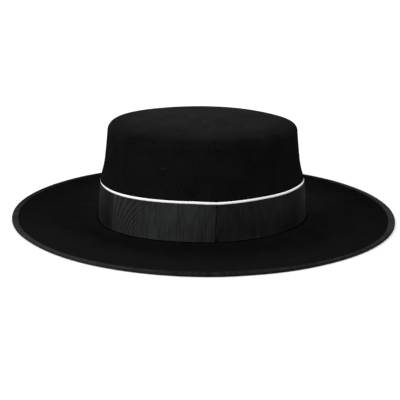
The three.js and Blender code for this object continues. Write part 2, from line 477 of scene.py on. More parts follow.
def cord_profile(cords, columns, variation):
    """The height of a ribbed ribbon over its cords, between 0 and about 1, cord by cord.

    Here and there, every other cord stands a little higher than its neighbours."""
    phase = np.arange(cords * columns + 1) / columns
    number = np.arange(cords + 1)
    knots = draw.random(cords // PAIRING_REACH + 2)
    pairing = CORD_PAIRING * np.interp(number, np.arange(len(knots)) * PAIRING_REACH, knots)
    each = 1 + variation * (draw.random(cords + 1) - 0.5) + pairing * np.where(number % 2, 1, -1)
    return (0.5 - 0.5 * np.cos(2 * np.pi * phase)) ** CORD_PLUMPNESS * each[np.floor(phase).astype(int)]


print("the slit is", round(slit_at(BAND_MIDDLE, "gap"), 2), "mm wide at the height", BAND_MIDDLE)

# %% Section of the ribbon
SELVEDGE_WIDTH = 0.9
SELVEDGE_RISE = 0.12
SELVEDGE_CREST = 0.6
SELVEDGE_SPREAD = 0.35
CORDS_AT_EDGE = 0.35
EDGE_TURN_DEPTH = 0.35
EDGE_TURN_REACH = 0.5
RIBBON_THICKNESS = 0.75
END_FOLD = 0.9
END_PROUD = 0.25
END_DOUBLE = 9.0
END_PROUD_EASE = 3
END_SHARE = 0.03
BAND_SNUG = 1.8


def beside_slit(z, way, length):
    """The way round the crown, with the two ends of the ribbon moved to the sides of the slit."""
    ease = (way / length - 0.5) * 2
    at_ends = np.sign(ease) * np.clip((np.abs(ease) - (1 - END_SHARE)) / END_SHARE, 0, 1)
    return way + np.abs(at_ends) * slit_at(z, "right") - at_ends * slit_at(z, "gap") / 2


def edge_rise(z):
    """How far the ribbon's edges stand up: a firm selvedge, and its rounded rim."""
    near_edge = min(z - BAND_BOTTOM, BAND_TOP - z)
    selvedge = SELVEDGE_RISE * np.exp(-((near_edge - SELVEDGE_CREST) / SELVEDGE_SPREAD) ** 2)
    return selvedge - EDGE_TURN_DEPTH * np.clip(1 - near_edge / EDGE_TURN_REACH, 0, 1) ** 2


def cords_at(z):
    """The share of the cords' relief that shows at a height: less of it in the selvedges."""
    near_edge = min(z - BAND_BOTTOM, BAND_TOP - z)
    return CORDS_AT_EDGE + (1 - CORDS_AT_EDGE) * min(near_edge / SELVEDGE_WIDTH, 1)


def end_rise(way, length):
    """How the ribbon's ends turn under, the left one over a doubled and so prouder stretch."""
    from_end = np.minimum(way, length - way)
    fold = np.clip(1 - from_end / END_FOLD, 0, 1)
    drop = RIBBON_THICKNESS * (1 - np.sqrt(np.clip(1 - fold ** 2, 0, 1)))
    left_end = way > length / 2
    return END_PROUD * left_end * np.clip((END_DOUBLE - from_end) / END_PROUD_EASE, 0, 1) - drop


print("the selvedge rises by", round(edge_rise(BAND_BOTTOM + SELVEDGE_CREST), 2), "mm")

# %% Hatband mesh
BAND_ROWS = 13
BAND_EDGE_ROWS = np.array([0, 0.25, 0.55, 0.9, 1.3])
BAND_BACK = 0.45
BAND_LEAST_THICKNESS = 0.05
BAND_WAVES = [
    {"size": 38, "depth": 0.16, "seed": 21},
    {"size": 12, "depth": 0.05, "seed": 22},
]


def band_heights():
    """The heights of the rows of points up the ribbon, close together at its edges."""
    full_height = BAND_TOP - BAND_BOTTOM
    inner_edge = BAND_EDGE_ROWS[-1]
    middle = np.linspace(inner_edge, full_height - inner_edge, BAND_ROWS)[1:-1]
    return BAND_BOTTOM + np.concatenate([BAND_EDGE_ROWS, middle, full_height - BAND_EDGE_ROWS[::-1]])


def band_mesh():
    oval = crown_oval(wall_inset(BAND_MIDDLE) - BAND_OUT, BAND_MIDDLE)
    length, angle_at = length_round(oval, SEAM_ANGLE)
    cords = round(length / CORD_PITCH)
    relief = CORD_RELIEF * cord_profile(cords, CORD_COLUMNS, CORD_VARIATION)
    way = np.linspace(0, length, len(relief))
    base = BAND_OUT - CORD_RELIEF
    outer, inner = [], []
    for z in band_heights():
        angles = angle_at(beside_slit(z, way, length))
        snug = BAND_SNUG * by_hand(angles, "tuck")
        out = base + relief * cords_at(z) + edge_rise(z) + end_rise(way, length) - snug
        lifted = z + by_hand(angles, "lift") * (z - BAND_BOTTOM) / (BAND_TOP - BAND_BOTTOM)
        outer.append(oval_points(crown_oval(wall_inset(z) - out, lifted), angles))
        inner_out = np.minimum(base - BAND_BACK, out - BAND_LEAST_THICKNESS)
        inner.append(oval_points(crown_oval(wall_inset(z) - inner_out, lifted), angles))
    outer = np.stack(outer)
    away = outer - np.array([CROWN_SHIFT * MM, 0, 0])
    away[..., 2] = 0
    away /= np.linalg.norm(away, axis=-1, keepdims=True)
    outer = outer + away * unevenness(outer, BAND_WAVES)[..., None] * MM
    back = np.stack(inner)[::-1][[0, len(inner) // 2, -1]]
    grid = np.concatenate([outer, back])
    rows, columns = grid.shape[:2]
    faces = grid_faces(rows, columns, closed_round=False)
    points = grid.reshape(-1, 3)
    first_cap = [row * columns for row in range(rows)]
    last_cap = [row * columns + columns - 1 for row in range(rows)][::-1]
    return mesh_piece("hatband_ribbon", points, faces + [first_cap, last_cap]), cords, length


hatband, band_cords, band_length = band_mesh()
print("cords in the hatband:", band_cords, "length in mm:", round(band_length))

# %% [markdown]
# ## The white piping
# The white line is a narrow cotton tape, folded lengthwise, whose fold stands above the
# ribbon while its two edges are caught behind it. It is drawn as a section with a full round
# top and a thin tongue that goes down behind the ribbon, carried once round the crown. It
# follows the ribbon's upper edge, and lies closer to the crown where the ribbon is drawn in.
# A sewn tape is never quite even, so its height wanders by a tenth of a millimetre, and it is
# nipped in a little where the ends of the ribbon meet.

# %% Piping mesh
PIPING_COLUMNS = 760
PIPING_BOTTOM = 38.0
PIPING_HEIGHT = 1.9
PIPING_WAVES = [{"size": 21, "depth": 0.09, "seed": 31}]
PIPING_NIP = 0.22
PIPING_NIP_REACH = 2.2

# The section of the tape: how far out from the crown's wall, and how high above the ribbon.
PIPING_SECTION = [
    {"out": 0.12, "up": -1.2},
    {"out": 0.3, "up": -1.2},
    {"out": 0.4, "up": -0.6},
    {"out": 0.62, "up": -0.3},
    {"out": 0.86, "up": 0.0},
    {"out": 1.06, "up": 0.4},
    {"out": 1.18, "up": 0.9},
    {"out": 1.2, "up": 1.4},
    {"out": 1.14, "up": 1.78},
    {"out": 1.02, "up": 1.98},
    {"out": 0.86, "up": 2.05},
    {"out": 0.68, "up": 1.93},
    {"out": 0.5, "up": 1.5},
    {"out": 0.3, "up": 0.7},
]


def piping_mesh():
    angles = np.linspace(0, 2 * np.pi, PIPING_COLUMNS, endpoint=False)
    from_seam = np.abs((angles - SEAM_ANGLE + np.pi) % (2 * np.pi) - np.pi) * CROWN_LENGTH / 2
    nip = PIPING_NIP * np.exp(-(from_seam / PIPING_NIP_REACH) ** 2)
    path = oval_points(crown_oval(wall_inset(PIPING_BOTTOM), PIPING_BOTTOM), angles)
    wander = unevenness(path, PIPING_WAVES)
    lift, tuck = by_hand(angles, "lift"), by_hand(angles, "tuck")
    rings = []
    for row in PIPING_SECTION:
        above = np.clip(row["up"], 0, None) / PIPING_HEIGHT
        z = PIPING_BOTTOM + row["up"] + lift + above * (wander - nip)
        out = row["out"] * (1 - tuck)
        rings.append(oval_points(crown_oval(wall_inset(z) - out + above * nip, z), angles))
    grid = np.stack(rings)
    return mesh_piece("piping_tape", grid.reshape(-1, 3), grid_faces(*grid.shape[:2]))


piping = piping_mesh()

# %% [markdown]
# ## The binding
# The raw edge of the brim is covered by a second grosgrain ribbon, folded over it and sewn
# down above and below. It is pulled round a curve, so its cords fan out across the edge, and
# its inner selvedge hugs the felt in a slightly wavy line. How much of it lies above the brim
# is the hand's work, from 3.4 to 7 mm, and the table above tells it. The section is a list of
# points from the upper selvedge round the fold to the lower one and back along the inside. The
# CAD solid stands for the ribbon with thicker walls, while this one is as thin as a real one.
# The cords press through it as on the hatband, here with four columns of points each.

# %% Binding mesh
BINDING_PITCH = 1.0
BINDING_COLUMNS = 4
BINDING_RELIEF = 0.17
BINDING_VARIATION = 0.5
BINDING_WAVES = [
    {"size": 17, "depth": 0.22, "seed": 41},
    {"size": 5, "depth": 0.1, "seed": 42},
]
BINDING_REACH = 6.5
FOLD_OVAL = {"inset": 2, "z": 3}
SELVEDGE_OVAL = {"inset": 6, "z": 3}

# The section of the binding: inset from the brim's edge, height, how much of the cords'
# relief shows there, and how far the point follows the wandering selvedge. What the ribbon
# lacks above the brim it has too much below, so the lower side follows the other way.
BINDING_SECTION = [
    {"inset": 6.4, "z": 2.5, "cords": 0.0, "follows": 1.0},
    {"inset": 6.5, "z": 2.72, "cords": 0.2, "follows": 1.0},
    {"inset": 6.3, "z": 2.92, "cords": 0.4, "follows": 0.98},
    {"inset": 5.9, "z": 2.97, "cords": 0.6, "follows": 0.9},
    {"inset": 5.3, "z": 2.98, "cords": 1.0, "follows": 0.77},
    {"inset": 4.3, "z": 3.06, "cords": 1.0, "follows": 0.56},
    {"inset": 2.9, "z": 3.14, "cords": 1.0, "follows": 0.27},
    {"inset": 1.6, "z": 3.14, "cords": 1.0, "follows": 0.0},
    {"inset": 0.85, "z": 2.98, "cords": 1.0, "follows": 0.0},
    {"inset": 0.35, "z": 2.6, "cords": 1.0, "follows": 0.0},
    {"inset": 0.15, "z": 2.1, "cords": 1.0, "follows": 0.0},
    {"inset": 0.15, "z": 1.2, "cords": 1.0, "follows": 0.0},
    {"inset": 0.35, "z": 0.65, "cords": 1.0, "follows": 0.0},
    {"inset": 0.8, "z": 0.25, "cords": 0.8, "follows": 0.0},
    {"inset": 1.6, "z": 0.05, "cords": 0.2, "follows": 0.0},
    {"inset": 6.3, "z": 0.05, "cords": 0.2, "follows": -0.6},
    {"inset": 6.45, "z": 0.3, "cords": 0.0, "follows": -0.6},
    {"inset": 6.3, "z": 0.6, "cords": 0.0, "follows": -0.6},
    {"inset": 0.9, "z": 0.6, "cords": 0.0, "follows": 0.0},
    {"inset": 0.9, "z": 2.6, "cords": 0.0, "follows": 0.0},
]


def binding_mesh():
    length, angle_at = length_round(brim_oval(**FOLD_OVAL), 0)
    cords = round(length / BINDING_PITCH)
    relief = BINDING_RELIEF * cord_profile(cords, BINDING_COLUMNS, BINDING_VARIATION)[:-1]
    angles = angle_at(np.linspace(0, length, len(relief), endpoint=False))
    path = oval_points(brim_oval(**SELVEDGE_OVAL), angles)
    stray = by_hand(angles, "binding") - BINDING_REACH + unevenness(path, BINDING_WAVES)
    rings = []
    for row in BINDING_SECTION:
        rings.append(oval_points(brim_oval(row["inset"] + row["follows"] * stray, row["z"]), angles))
    grid = np.stack(rings)
    section = np.array([[row["inset"], row["z"]] for row in BINDING_SECTION])
    along = np.roll(section, -1, axis=0) - np.roll(section, 1, axis=0)
    along /= np.linalg.norm(along, axis=1, keepdims=True)
    shares = np.array([row["cords"] for row in BINDING_SECTION])
    outward = oval_points(brim_oval(-1, 0), angles) - oval_points(brim_oval(0, 0), angles)
    raised = shares[:, None] * relief[None, :]
    grid = grid + (raised * along[:, 1:])[..., None] * -outward[None]
    grid[..., 2] += raised * -along[:, :1] * MM
    return mesh_piece("brim_binding_ribbon", grid.reshape(-1, 3), grid_faces(*grid.shape[:2])), cords


binding, binding_cords = binding_mesh()
print("cords in the binding:", binding_cords)

# %% [markdown]
# ## The stitches of the binding
# The binding is sewn on by machine close to its inner selvedge, with thread as black as the
# ribbon. Each stitch is a short plump length of thread that sinks into the ribbon at both
# ends, so a small spindle is drawn for each and all of them make one piece.

# %% Stitches mesh
STITCH_PITCH = 3.4
STITCH_LENGTH = 2.7
STITCH_WIDTH = 0.42
STITCH_FROM_SELVEDGE = 1.25
STITCH_HEIGHT = 3.07
STITCH_SIDES = 6
STITCH_STRAY_ALONG = 0.25
STITCH_STRAY_ACROSS = 0.08
STITCH_RINGS = [
    {"along": -0.5, "thick": 0.25, "sink": 0.22},
    {"along": -0.38, "thick": 0.8, "sink": 0.06},
    {"along": 0.0, "thick": 1.0, "sink": 0.0},
    {"along": 0.38, "thick": 0.8, "sink": 0.06},
    {"along": 0.5, "thick": 0.25, "sink": 0.22},
]


def stitches_mesh():
    length, angle_at = length_round(brim_oval(BINDING_REACH - STITCH_FROM_SELVEDGE, STITCH_HEIGHT), 0)
    stitches = round(length / STITCH_PITCH)
    starts = np.arange(stitches) * length / stitches
    starts = starts + STITCH_STRAY_ALONG * draw.standard_normal(stitches)
    inset = by_hand(angle_at(starts), "binding") - STITCH_FROM_SELVEDGE
    inset = inset + STITCH_STRAY_ACROSS * draw.standard_normal(stitches)
    turns = np.linspace(0, 2 * np.pi, STITCH_SIDES, endpoint=False)
    points, faces = [], []
    for start, side in zip(starts, inset):
        first = len(points)
        for row in STITCH_RINGS:
            angle = angle_at(np.array([start + row["along"] * STITCH_LENGTH]))
            for turn in turns:
                radius = row["thick"] * STITCH_WIDTH / 2
                z = STITCH_HEIGHT - row["sink"] + radius * np.sin(turn)
                points.append(oval_points(brim_oval(side + radius * np.cos(turn), z), angle)[0])
        rows = len(STITCH_RINGS)
        skin = grid_faces(rows, STITCH_SIDES, closed_along=False)
        caps = [range(STITCH_SIDES), range((rows - 1) * STITCH_SIDES, rows * STITCH_SIDES)]
        faces += [[first + number for number in face] for face in skin + caps]
    return mesh_piece("binding_stitches", np.array(points), faces), stitches


stitching, stitch_count = stitches_mesh()
print("stitches:", stitch_count)

# %% [markdown]
# ## Writing finishes as sums
# A finish is a small network of nodes. Written out node by node it is hard to read, so one
# class wraps the output of a node and lets Python's own operators add Math nodes. Colours go
# through a Mix node instead, because a Math node would turn them grey.

# %% A socket that can be reckoned with
class Wire:
    """The output of one node in a finish. Sums of wires and numbers add Math nodes."""

    def __init__(self, tree, socket=None):
        self.tree = tree
        self.socket = socket

    def node(self, kind, settings=None, inputs=None, output=0):
        """Adds a node: first its settings, then the values or the wires of its sockets."""
        node = self.tree.nodes.new(kind)
        for name, value in (settings or {}).items():
            if name == "stops":
                stops = node.color_ramp.elements
                for place, shade in value:
                    stop = stops.new(place)
                    stop.color = (shade, shade, shade, 1)
                stops.remove(stops[0])
                stops.remove(stops[-1])
            else:
                setattr(node, name, value)
        for key, value in (inputs or {}).items():
            if isinstance(value, Wire):
                self.tree.links.new(value.socket, node.inputs[key])
            else:
                node.inputs[key].default_value = value
        return Wire(self.tree, node.outputs[output])

    def math(self, operation, *values):
        return self.node("ShaderNodeMath", {"operation": operation}, dict(enumerate(values)))

    def __add__(self, other):
        return self.math("ADD", self, other)

    __radd__ = __add__

    def __mul__(self, other):
        return self.math("MULTIPLY", self, other)

    __rmul__ = __mul__

    def __sub__(self, other):
        return self.math("SUBTRACT", self, other)

    def __rsub__(self, other):
        return self.math("SUBTRACT", other, self)

    def __truediv__(self, other):
        return self.math("DIVIDE", self, other)

    def between(self, low, high):
        """0 below the low value and 1 above the high one, smooth in between."""
        settings = {"interpolation_type": "SMOOTHSTEP"}
        return self.node("ShaderNodeMapRange", settings, {"Value": self, "From Min": low, "From Max": high})

    def blend(self, low, high):
        """A colour between two colours, at this share. Each is three numbers or a wire."""
        ends = [shade if isinstance(shade, Wire) else (*shade, 1) for shade in (low, high)]
        sockets = {0: self, 6: ends[0], 7: ends[1]}
        return self.node("ShaderNodeMix", {"data_type": "RGBA"}, sockets, output=2)


print("named methods of a wire:", [name for name in dir(Wire) if not name.startswith("_")])

# %% A finish and its first wires
def finish(name, settings):
    """A new material with one shader, its steady values set. Gives it, its shader and a first wire."""
    material = bpy.data.materials.new(name)
    material.use_nodes = True
    tree = material.node_tree
    tree.nodes.clear()
    shader = tree.nodes.new("ShaderNodeBsdfPrincipled")
    surface = tree.nodes.new("ShaderNodeOutputMaterial")
    tree.links.new(shader.outputs[0], surface.inputs[0])
    for key, value in settings.items():
        shader.inputs[key].default_value = value
    return material, shader, Wire(tree)


def place_of(start):
    """Where a point lies on the hat, in millimetres, as a wire, and its three parts."""
    place = start.node("ShaderNodeTexCoord", output=3)
    place = start.node("ShaderNodeVectorMath", {"operation": "SCALE"}, {0: place, "Scale": 1 / MM})
    parts = [start.node("ShaderNodeSeparateXYZ", None, {0: place}, output=axis) for axis in range(3)]
    return place, parts


def grain(start, place, size, detail=2.0, stretch=(1, 1, 1)):
    """Noise with grains of a size in millimetres, drawn out along the axes by a stretch."""
    scaled = start.node("ShaderNodeVectorMath", {"operation": "DIVIDE"}, {0: place, 1: stretch})
    return start.node("ShaderNodeTexNoise", None, {"Vector": scaled, "Scale": 1 / size, "Detail": detail})


def link(start, shader, **values):
    """Connects wires to the shader's sockets, which are named with _ for a space."""
    for name, value in values.items():
        start.tree.links.new(value.socket, shader.inputs[name.replace("_", " ")])


def bump(start, height, depth):
    """A normal from a height between 0 and 1 that stands for a depth in millimetres."""
    return start.node("ShaderNodeBump", None, {"Height": height, "Distance": depth * MM, "Strength": 1.0})


print("helpers of a finish:", [helper.__name__ for helper in (finish, place_of, grain, link, bump)])

# %% [markdown]
# ## The felt's finish
# Black wool felt swallows light: its dye is almost black and its matted fibres give hardly
# any gloss. What is seen is a soft bloom where the eye looks along the nap, a mottle where
# the brush has laid the nap this way and that, short fibres, and now and then a speck of
# lint. The bloom is the shader's own sheen, the mottle changes the dye and the roughness by
# a little, and the fibres are drawn-out noise in two directions that feeds the bump. Light
# and shade are also painted into the dye. There is painted shade round the foot of the crown,
# more at the right front, and on the outer brim's right, back and left back. There is painted
# light on the outer brim's left and front, more at its front left. The far half of the
# crown's top has painted light and its near half has painted shade. The whole brim's tone is
# also lifted.

# %% Felt finish
FELT_DEEP = (0.00165, 0.0017, 0.0017)
FELT_BRUSHED = (0.00545, 0.0055, 0.0055)
FELT_LINT = (0.05, 0.052, 0.053)
LINT_SHOWS = (0.86, 0.88)
LINT_STRENGTH = 0.5
FELT_ROUGH = 0.86
FELT_ROUGH_SPREAD = 0.12
FELT_BUMP = 0.22

# What the felt's surface is made of, by the size of its grains in mm.
FELT_GRAINS = {
    "mottle": {"size": 22},
    "nap": {"size": 1.6, "detail": 3.0},
    "fibres": {"size": 0.28, "stretch": (3.2, 1, 1)},
    "crossed fibres": {"size": 0.26, "stretch": (1, 2.6, 2.2)},
    "lint": {"size": 1.9, "detail": 0.0},
}

# How much painted shade or painted light the dye carries in some places, on the brim and on the
# crown's top, as a share of its range. The brim's lift raises the tone of the whole brim.
FELT_FOOT_PAINTED_SHADE = 0.5
FELT_SIDE_PAINTED_SHADE = 0.2
FELT_FAR_PAINTED_SHADE = 0.4
FELT_LEFT_BACK_PAINTED_SHADE = 0.3
FELT_LEFT_FRONT_PAINTED_LIGHT = 0.24
FELT_BRIM_LIFT = 0.15
FELT_TOP_PAINTED_LIGHT = 0.52

# Where those places start and end: heights in mm, and shares of the brim's own half sizes.
BRIM_UP_TO = (3, 5)
TOP_FROM = (90, 93)
FOOT_REACH = (0.22, 0.7)
FOOT_LEAST = 0.8
FOOT_RIGHT_FRONT = 0.3
OUTER_REACH = (0.4, 0.9)
RIGHT_FRONT_REACH = (0, 0.6)
LEFT_BACK_REACH = (0.2, 0.9)
LEFT_FRONT_REACH = (0.62, 0.84)


def felt_finish():
    material, shader, start = finish("brushed_black_felt", {
        "Specular IOR Level": 0.0,
        "Sheen Weight": 0.003,
        "Sheen Roughness": 0.5,
    })
    place, (x, y, z) = place_of(start)
    along, across = x / (BRIM_LENGTH / 2), y / (BRIM_WIDTH / 2)
    reach = along * along + across * across
    to_right_front = (along * 0.6 - across * 0.8).between(*RIGHT_FRONT_REACH)
    to_left_back = (across * 0.8 - along * 0.6).between(*LEFT_BACK_REACH)
    to_left_front = (0 - across * 0.7 - along * 0.7).between(*LEFT_FRONT_REACH)
    # Painted shade round the crown's foot and on the brim's right, back and left back; painted light on its
    # left and front.
    foot = (1 - reach.between(*FOOT_REACH)) * (FOOT_LEAST + to_right_front * FOOT_RIGHT_FRONT)
    outer = reach.between(*OUTER_REACH) * (along * FELT_SIDE_PAINTED_SHADE + across * FELT_FAR_PAINTED_SHADE)
    painted_shade = foot * FELT_FOOT_PAINTED_SHADE + outer + to_left_back * FELT_LEFT_BACK_PAINTED_SHADE
    brim_lift_and_painted_light = to_left_front * FELT_LEFT_FRONT_PAINTED_LIGHT + FELT_BRIM_LIFT
    shade = (1 - z.between(*BRIM_UP_TO)) * (painted_shade - brim_lift_and_painted_light)
    # Painted light on the far half of the crown's top, painted shade on its near half.
    painted_top_light = z.between(*TOP_FROM) * across * FELT_TOP_PAINTED_LIGHT
    mottle, nap, fibres, crossed, lint = [grain(start, place, **row) for row in FELT_GRAINS.values()]
    nap_and_painted_light = (mottle * 0.3 + nap * 0.45 + fibres * 0.25).between(0.2, 0.8) - shade + painted_top_light
    dye_and_painted_light = nap_and_painted_light.blend(FELT_DEEP, FELT_BRUSHED)
    colour = (lint.between(*LINT_SHOWS) * LINT_STRENGTH).blend(dye_and_painted_light, FELT_LINT)
    height = fibres * 0.4 + crossed * 0.35 + nap * 0.25
    rough = FELT_ROUGH + nap_and_painted_light * FELT_ROUGH_SPREAD
    link(start, shader, Base_Color=colour, Roughness=rough, Normal=bump(start, height, FELT_BUMP))
    return material


felt.data.materials.append(felt_finish())
print("felt finish:", felt.data.materials[0].name)

# %% [markdown]
# ## The hatband's finish
# Grosgrain is woven from shiny thread, so it catches more light than felt. Seen close, fine
# threads run along the ribbon over every cord: they are a wave in the bump, a quarter of a
# millimetre from thread to thread. Cords take up the dye unevenly, which shows as faint
# streaks across the ribbon. How light the ribbon is along its length is painted light and
# shade. A table gives it from the seam round to the seam: a painted highlight before the seam,
# and painted dark reflections near the two ends of the oval. A second table paints shade at
# its lower edge, and in a few stretches light. At the left the ribbon is pressed aslant, and
# its ribs show as a fan of fine bent lines.

# %% Tones of the hatband
THREAD_PITCH = 0.26
BAND_DARK = (0.0025, 0.0026, 0.0027)
BAND_LIGHT = (0.0194, 0.02, 0.0208)

# How much painted light the ribbon carries along its length: where from the seam, as a share
# of the way round to the right, and how light. Its end before the seam lies a little proud.
# The stretch before the seam carries a painted highlight, much lighter than the stretch that
# starts there. The two narrow dips near the ends of the oval are painted dark reflections.
BAND_PAINTED_LIGHT = [
    (0.0, 0.31), (0.01, 0.22), (0.035, 0.24), (0.06, 0.29), (0.1, 0.31), (0.128, 0.27),
    (0.15, 0.18), (0.162, 0.08), (0.175, 0.2), (0.19, 0.38), (0.21, 0.7), (0.25, 0.8), (0.3, 0.5),
    (0.7, 0.4), (0.775, 0.26),
    (0.797, 0.07), (0.808, 0.16), (0.817, 0.6), (0.835, 0.6), (0.85, 0.53), (0.87, 0.64),
    (0.89, 0.92), (0.905, 0.9), (0.915, 0.78), (0.932, 0.7), (0.95, 0.66), (0.985, 0.62),
    (0.992, 0.5), (0.999, 0.38),
]

# Painted shade and light at its lower edge along the same way: 0.5 where the lower edge is
# like the upper one, less where it is painted darker, more where it is painted lighter.
BAND_PAINTED_FADE = [
    (0.0, 0.35), (0.02, 0.5), (0.1, 0.46), (0.12, 0.3), (0.138, 0.05), (0.15, 0.15), (0.162, 0.5),
    (0.7, 0.5), (0.775, 0.15), (0.797, 0.45), (0.82, 0.3), (0.835, 0.5), (0.86, 0.66),
    (0.885, 0.78), (0.9, 0.7), (0.915, 0.52), (0.95, 0.54), (0.965, 0.32), (0.985, 0.25), (0.999, 0.4),
]
BAND_STREAKS = 0.82
# How much lighter the ribbon is along its lower edge, below the heights that follow.
BAND_LOWER_EDGE_LIGHTER = 0.22
BAND_EDGE_UP_TO = (3.0, 4.2)
BAND_BUMP = 0.035
BAND_GRAINS = {
    "streaks": {"size": 1.2, "stretch": (1, 1, 16)},
    "shades": {"size": 8, "detail": 1.0, "stretch": (1, 1, 4)},
    "fuzz": {"size": 0.18},
}
print("stops in the two tables of the hatband:", len(BAND_PAINTED_LIGHT), len(BAND_PAINTED_FADE))

# %% Hatband finish
# Where the ribs of the ribbon show as a fan of lines that spreads upwards: the share of the way
# round where it starts and fades, how far apart its lines are, and how much it spreads. Its
# lines take the place of a part of the plain streaks.
FAN_SHOWS = (0.808, 0.818)
FAN_FADES = (0.85, 0.885)
FAN_START = 0.815
FAN_PITCH = 3.1
FAN_SPREAD = 0.0011
FAN_DEPTH = 0.55
FAN_TAKES = 0.6


def band_finish():
    material, shader, start = finish("hatband_grosgrain", {
        "Specular IOR Level": 0.04,
        "Sheen Weight": 0.003,
        "Sheen Roughness": 0.35,
    })
    place, (x, y, z) = place_of(start)
    streaks, shades, fuzz = [grain(start, place, **row) for row in BAND_GRAINS.values()]
    threads = start.math("SINE", z * (2 * np.pi / THREAD_PITCH))
    angle = start.math("ARCTAN2", x - CROWN_SHIFT, 0 - y)
    before_seam = start.math("FRACT", angle / (2 * np.pi) + 1 - SEAM_SHARE)
    # Painted light along the ribbon from the first table, and painted shade or light at its lower edge from
    # the second.
    told = start.node("ShaderNodeValToRGB", {"stops": BAND_PAINTED_LIGHT}, {0: before_seam})
    fade = start.node("ShaderNodeValToRGB", {"stops": BAND_PAINTED_FADE}, {0: before_seam}) - 0.5
    worn = told * (1 + fade * (1 - z / (BAND_TOP / 2)))
    uneven = (streaks * 0.6 + shades * 0.4).between(0.3, 0.7) - 0.5
    in_fan = before_seam.between(*FAN_SHOWS) * (1 - before_seam.between(*FAN_FADES))
    ribs_apart = (z * z * FAN_SPREAD + 1) * FAN_PITCH
    rib_lines = start.math("SINE", (before_seam - FAN_START) * (2 * np.pi * band_length) / ribs_apart)
    streaked = uneven * BAND_STREAKS * (worn + 0.1) * (1 - in_fan * FAN_TAKES)
    fanned = rib_lines * in_fan * worn * FAN_DEPTH
    tone = worn + streaked + fanned + (1 - z.between(*BAND_EDGE_UP_TO)) * BAND_LOWER_EDGE_LIGHTER
    colour = tone.blend(BAND_DARK, BAND_LIGHT)
    height = threads * 0.3 + 0.5 + fuzz * 0.2
    rough = 0.5 - streaks * 0.1 + fuzz * 0.1
    link(start, shader, Base_Color=colour, Roughness=rough, Normal=bump(start, height, BAND_BUMP))
    return material


hatband.data.materials.append(band_finish())
print("hatband finish:", hatband.data.materials[0].name)

# %% [markdown]
# ## The binding's finish
# The binding is the same kind of ribbon. Light and shade are painted into it. It is painted
# palest at its two ends and at the front and darkest at the back, and its upper side is
# painted lighter than its rounded edge. The streaks of its cords run across the ribbon. They
# are noise on the direction from the hat's middle alone, so that each streak keeps its tone
# from the selvedge round the fold. The stitches are sewn through it with thread of the same
# tones and the same painted light and shade.

# %% Binding and thread finishes
BINDING_DARK = (0.0025, 0.0026, 0.0027)
BINDING_LIGHT = (0.0295, 0.0305, 0.0314)

# How much painted light the binding carries round the brim: as a share of the way round from the +X
# end over the back and the -X end to the front, and how light.
BINDING_PAINTED_LIGHT = [
    (0.0, 1.0), (0.05, 0.64), (0.12, 0.24), (0.25, 0.15), (0.38, 0.17), (0.45, 0.38), (0.5, 0.72),
    (0.58, 0.82), (0.64, 0.76), (0.7, 0.43), (0.75, 0.31), (0.85, 0.48), (0.93, 0.62), (0.999, 1.0),
]
BINDING_SPREAD = 0.6
# Painted shade on the binding's rounded edge and painted light on its upper side, which starts between
# these heights in mm.
BINDING_UPPER_FROM = (2.2, 3.1)
BINDING_RIM_PAINTED_SHADE = 0.55
BINDING_UPPER_PAINTED_LIGHT = 0.5
BINDING_BUMP = 0.08
GRAINS_ROUND_BRIM = {"streaks": {"size": 1.8}, "patches": {"size": 12, "detail": 1.0}}
GRAINS_IN_PLACE = {"worn": {"size": 2.6}, "fuzz": {"size": 0.2}}


def binding_finish(name):
    material, shader, start = finish(name, {
        "Specular IOR Level": 0.0,
        "Sheen Weight": 0.003,
        "Sheen Roughness": 0.4,
    })
    place, (x, y, z) = place_of(start)
    flat = start.node("ShaderNodeVectorMath", {"operation": "MULTIPLY"}, {0: place, 1: (1, 1, 0)})
    outward = start.node("ShaderNodeVectorMath", {"operation": "NORMALIZE"}, {0: flat})
    to_rim = {0: outward, "Scale": BRIM_LENGTH / 2}
    round_brim = start.node("ShaderNodeVectorMath", {"operation": "SCALE"}, to_rim)
    streaks, patches = [grain(start, round_brim, **row) for row in GRAINS_ROUND_BRIM.values()]
    worn, fuzz = [grain(start, place, **row) for row in GRAINS_IN_PLACE.values()]
    way_round = start.math("FRACT", start.math("ARCTAN2", y, x) / (2 * np.pi) + 1)
    # Painted light and shade round the brim, and painted light on the upper side.
    told = start.node("ShaderNodeValToRGB", {"stops": BINDING_PAINTED_LIGHT}, {0: way_round})
    uneven = (streaks * 0.5 + patches * 0.25 + worn * 0.25).between(0.32, 0.68) - 0.5
    painted_rim_shade_and_upper_light = BINDING_RIM_PAINTED_SHADE + z.between(*BINDING_UPPER_FROM) * BINDING_UPPER_PAINTED_LIGHT
    tone = told * (1 + uneven * BINDING_SPREAD * 2) * painted_rim_shade_and_upper_light
    colour = tone.blend(BINDING_DARK, BINDING_LIGHT)
    height = fuzz * 0.6 + streaks * 0.4
    rough = 0.52 + fuzz * 0.16
    link(start, shader, Base_Color=colour, Roughness=rough, Normal=bump(start, height, BINDING_BUMP))
    return material


binding.data.materials.append(binding_finish("binding_grosgrain"))
stitching.data.materials.append(binding_finish("black_thread"))
print("binding and thread finishes:", [piece.data.materials[0].name for piece in (binding, stitching)])

# %% [markdown]
# ## The piping's finish
# The tape is plain woven cotton, nearly pure white. Its weave is too fine to see from afar,
# but it breaks up the light. It is a little soiled here and there, and darker in its lowest
# half millimetre next to the ribbon. It carries painted shade to the left, where the key light
# falls on it. The tongue that is caught behind the ribbon is painted near black, as painted
# shade where it shows in the notches of the slit.

# %% Piping finish
TAPE_WHITE = (0.78, 0.78, 0.765)
TAPE_SOILED_AND_SHADED = (0.62, 0.615, 0.6)
